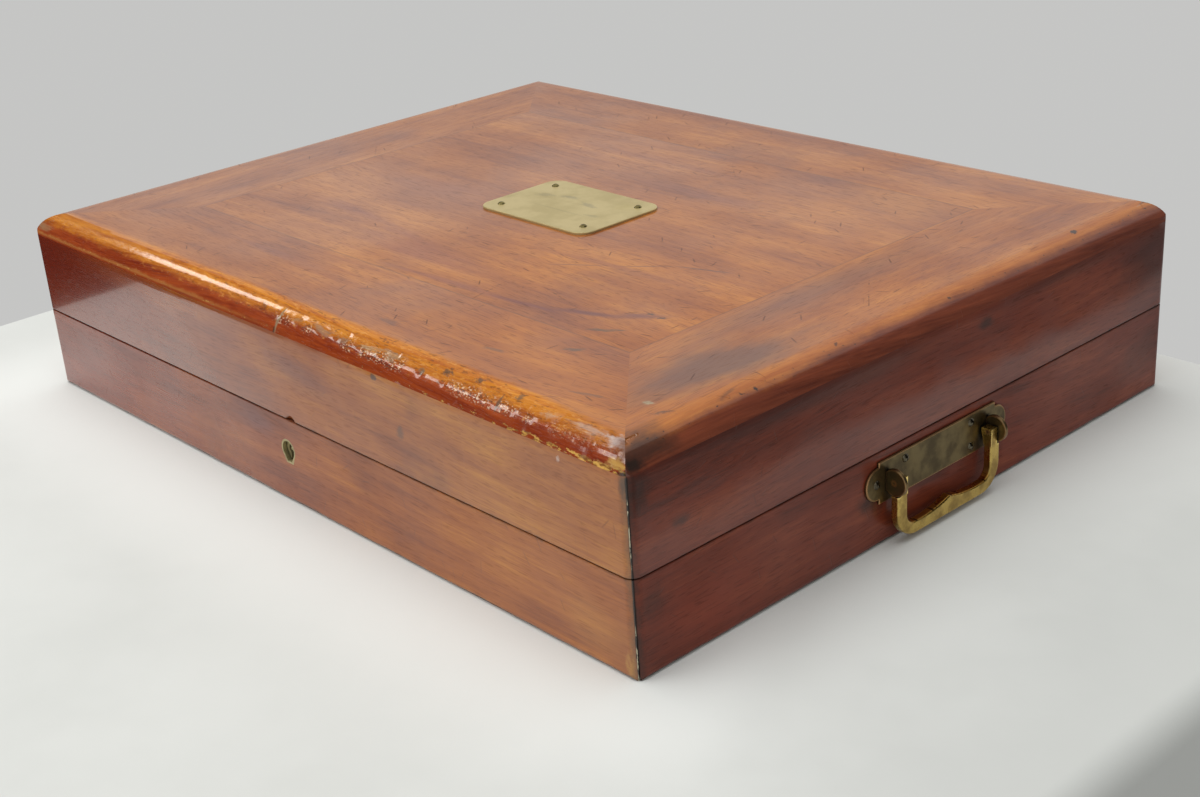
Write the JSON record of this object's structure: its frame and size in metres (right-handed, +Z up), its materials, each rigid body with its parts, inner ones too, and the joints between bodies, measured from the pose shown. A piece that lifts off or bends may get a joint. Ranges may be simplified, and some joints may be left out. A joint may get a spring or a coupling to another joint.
{
  "type": "silverware chest",
  "caption": "Low mahogany silverware chest with a hinged round-edged lid, brass name plate, keyhole, drop handles at the ends and slotted cutlery racks.",
  "frame": {"origin": "middle of the flat underside of the case", "axes": "+X along the width towards the right-hand handle, -Y towards the keyhole, +Z up"},
  "size_m": [0.6136, 0.4638, 0.1254],
  "materials": {
    "mahogany": "old glossy varnish, hazed and scuffed",
    "bottom_board": "bare wood",
    "green_baize": "napped wool cloth over card or wood",
    "aged_brass": "dulled, brown in the corners",
    "plate_brass": "satin, pale, smudged",
    "dark_brass": "dark bronze patina",
    "bail_brass": "worn bright on the edges, brown in the hollows",
    "screw_steel": "dull, rubbed",
    "steel": "plain, lightly oiled"
  },
  "bodies": {
    "case": {"base_front": "mahogany", "base_back": "mahogany", "base_left_side": "mahogany", "base_right_side": "mahogany", "base_bottom": "bottom_board", "base_floor_lining": "green_baize", "base_wall_lining": "green_baize", "left_outer_rack": "green_baize", "left_inner_rack": "green_baize", "right_inner_rack": "green_baize", "right_outer_rack": "green_baize", "centre_partition": "green_baize", "keyhole_escutcheon": "aged_brass", "lock_case": "aged_brass", "lock_cap": "aged_brass", "lock_drill_pin": "steel", "lock_cap_screws": "steel", "lock_screws": "aged_brass", "left_hinge_base_leaf": "aged_brass", "right_hinge_base_leaf": "aged_brass", "left_hinge_pin": "aged_brass", "right_hinge_pin": "aged_brass", "base_hinge_screws": "aged_brass", "right_handle_plate": "dark_brass", "right_handle_lugs": "dark_brass", "right_bail_pins": "dark_brass", "right_handle_screws": "screw_steel", "left_handle_plate": "dark_brass", "left_handle_lugs": "dark_brass", "left_bail_pins": "dark_brass", "left_handle_screws": "screw_steel"},
    "lid": {"lid_front": "mahogany", "lid_back": "mahogany", "lid_left_side": "mahogany", "lid_right_side": "mahogany", "top_front_border": "mahogany", "top_back_border": "mahogany", "top_left_border": "mahogany", "top_right_border": "mahogany", "top_panel": "mahogany", "name_plate": "plate_brass", "name_plate_pins": "plate_brass", "lock_link_plate": "aged_brass", "link_plate_screws": "aged_brass", "left_hinge_lid_leaf": "aged_brass", "right_hinge_lid_leaf": "aged_brass", "lid_hinge_screws": "aged_brass", "lid_lining": "green_baize", "lid_wall_lining": "green_baize"},
    "right_bail": {"right_bail": "bail_brass"},
    "left_bail": {"left_bail": "bail_brass"},
    "lock_bolt": {"lock_bolt": "aged_brass", "lock_bolt_spring": "steel"}
  },
  "joints": [
    {"name": "lid_hinge", "type": "hinge", "parent": "case", "child": "lid", "pos_m": [0, 0.232, 0.0557], "axis": [-1, 0, 0], "range_deg": [0, 100]},
    {"name": "right_bail_swing", "type": "hinge", "parent": "case", "child": "right_bail", "pos_m": [0.299, 0, 0.0383], "axis": [0, -1, 0], "range_deg": [-5, 185]},
    {"name": "left_bail_swing", "type": "hinge", "parent": "case", "child": "left_bail", "pos_m": [-0.299, 0, 0.0383], "axis": [0, 1, 0], "range_deg": [-5, 185]},
    {"name": "lock_bolt_slide", "type": "slide", "parent": "case", "child": "lock_bolt", "axis": [1, 0, 0], "range_m": [0, 0.005]}
  ]
}
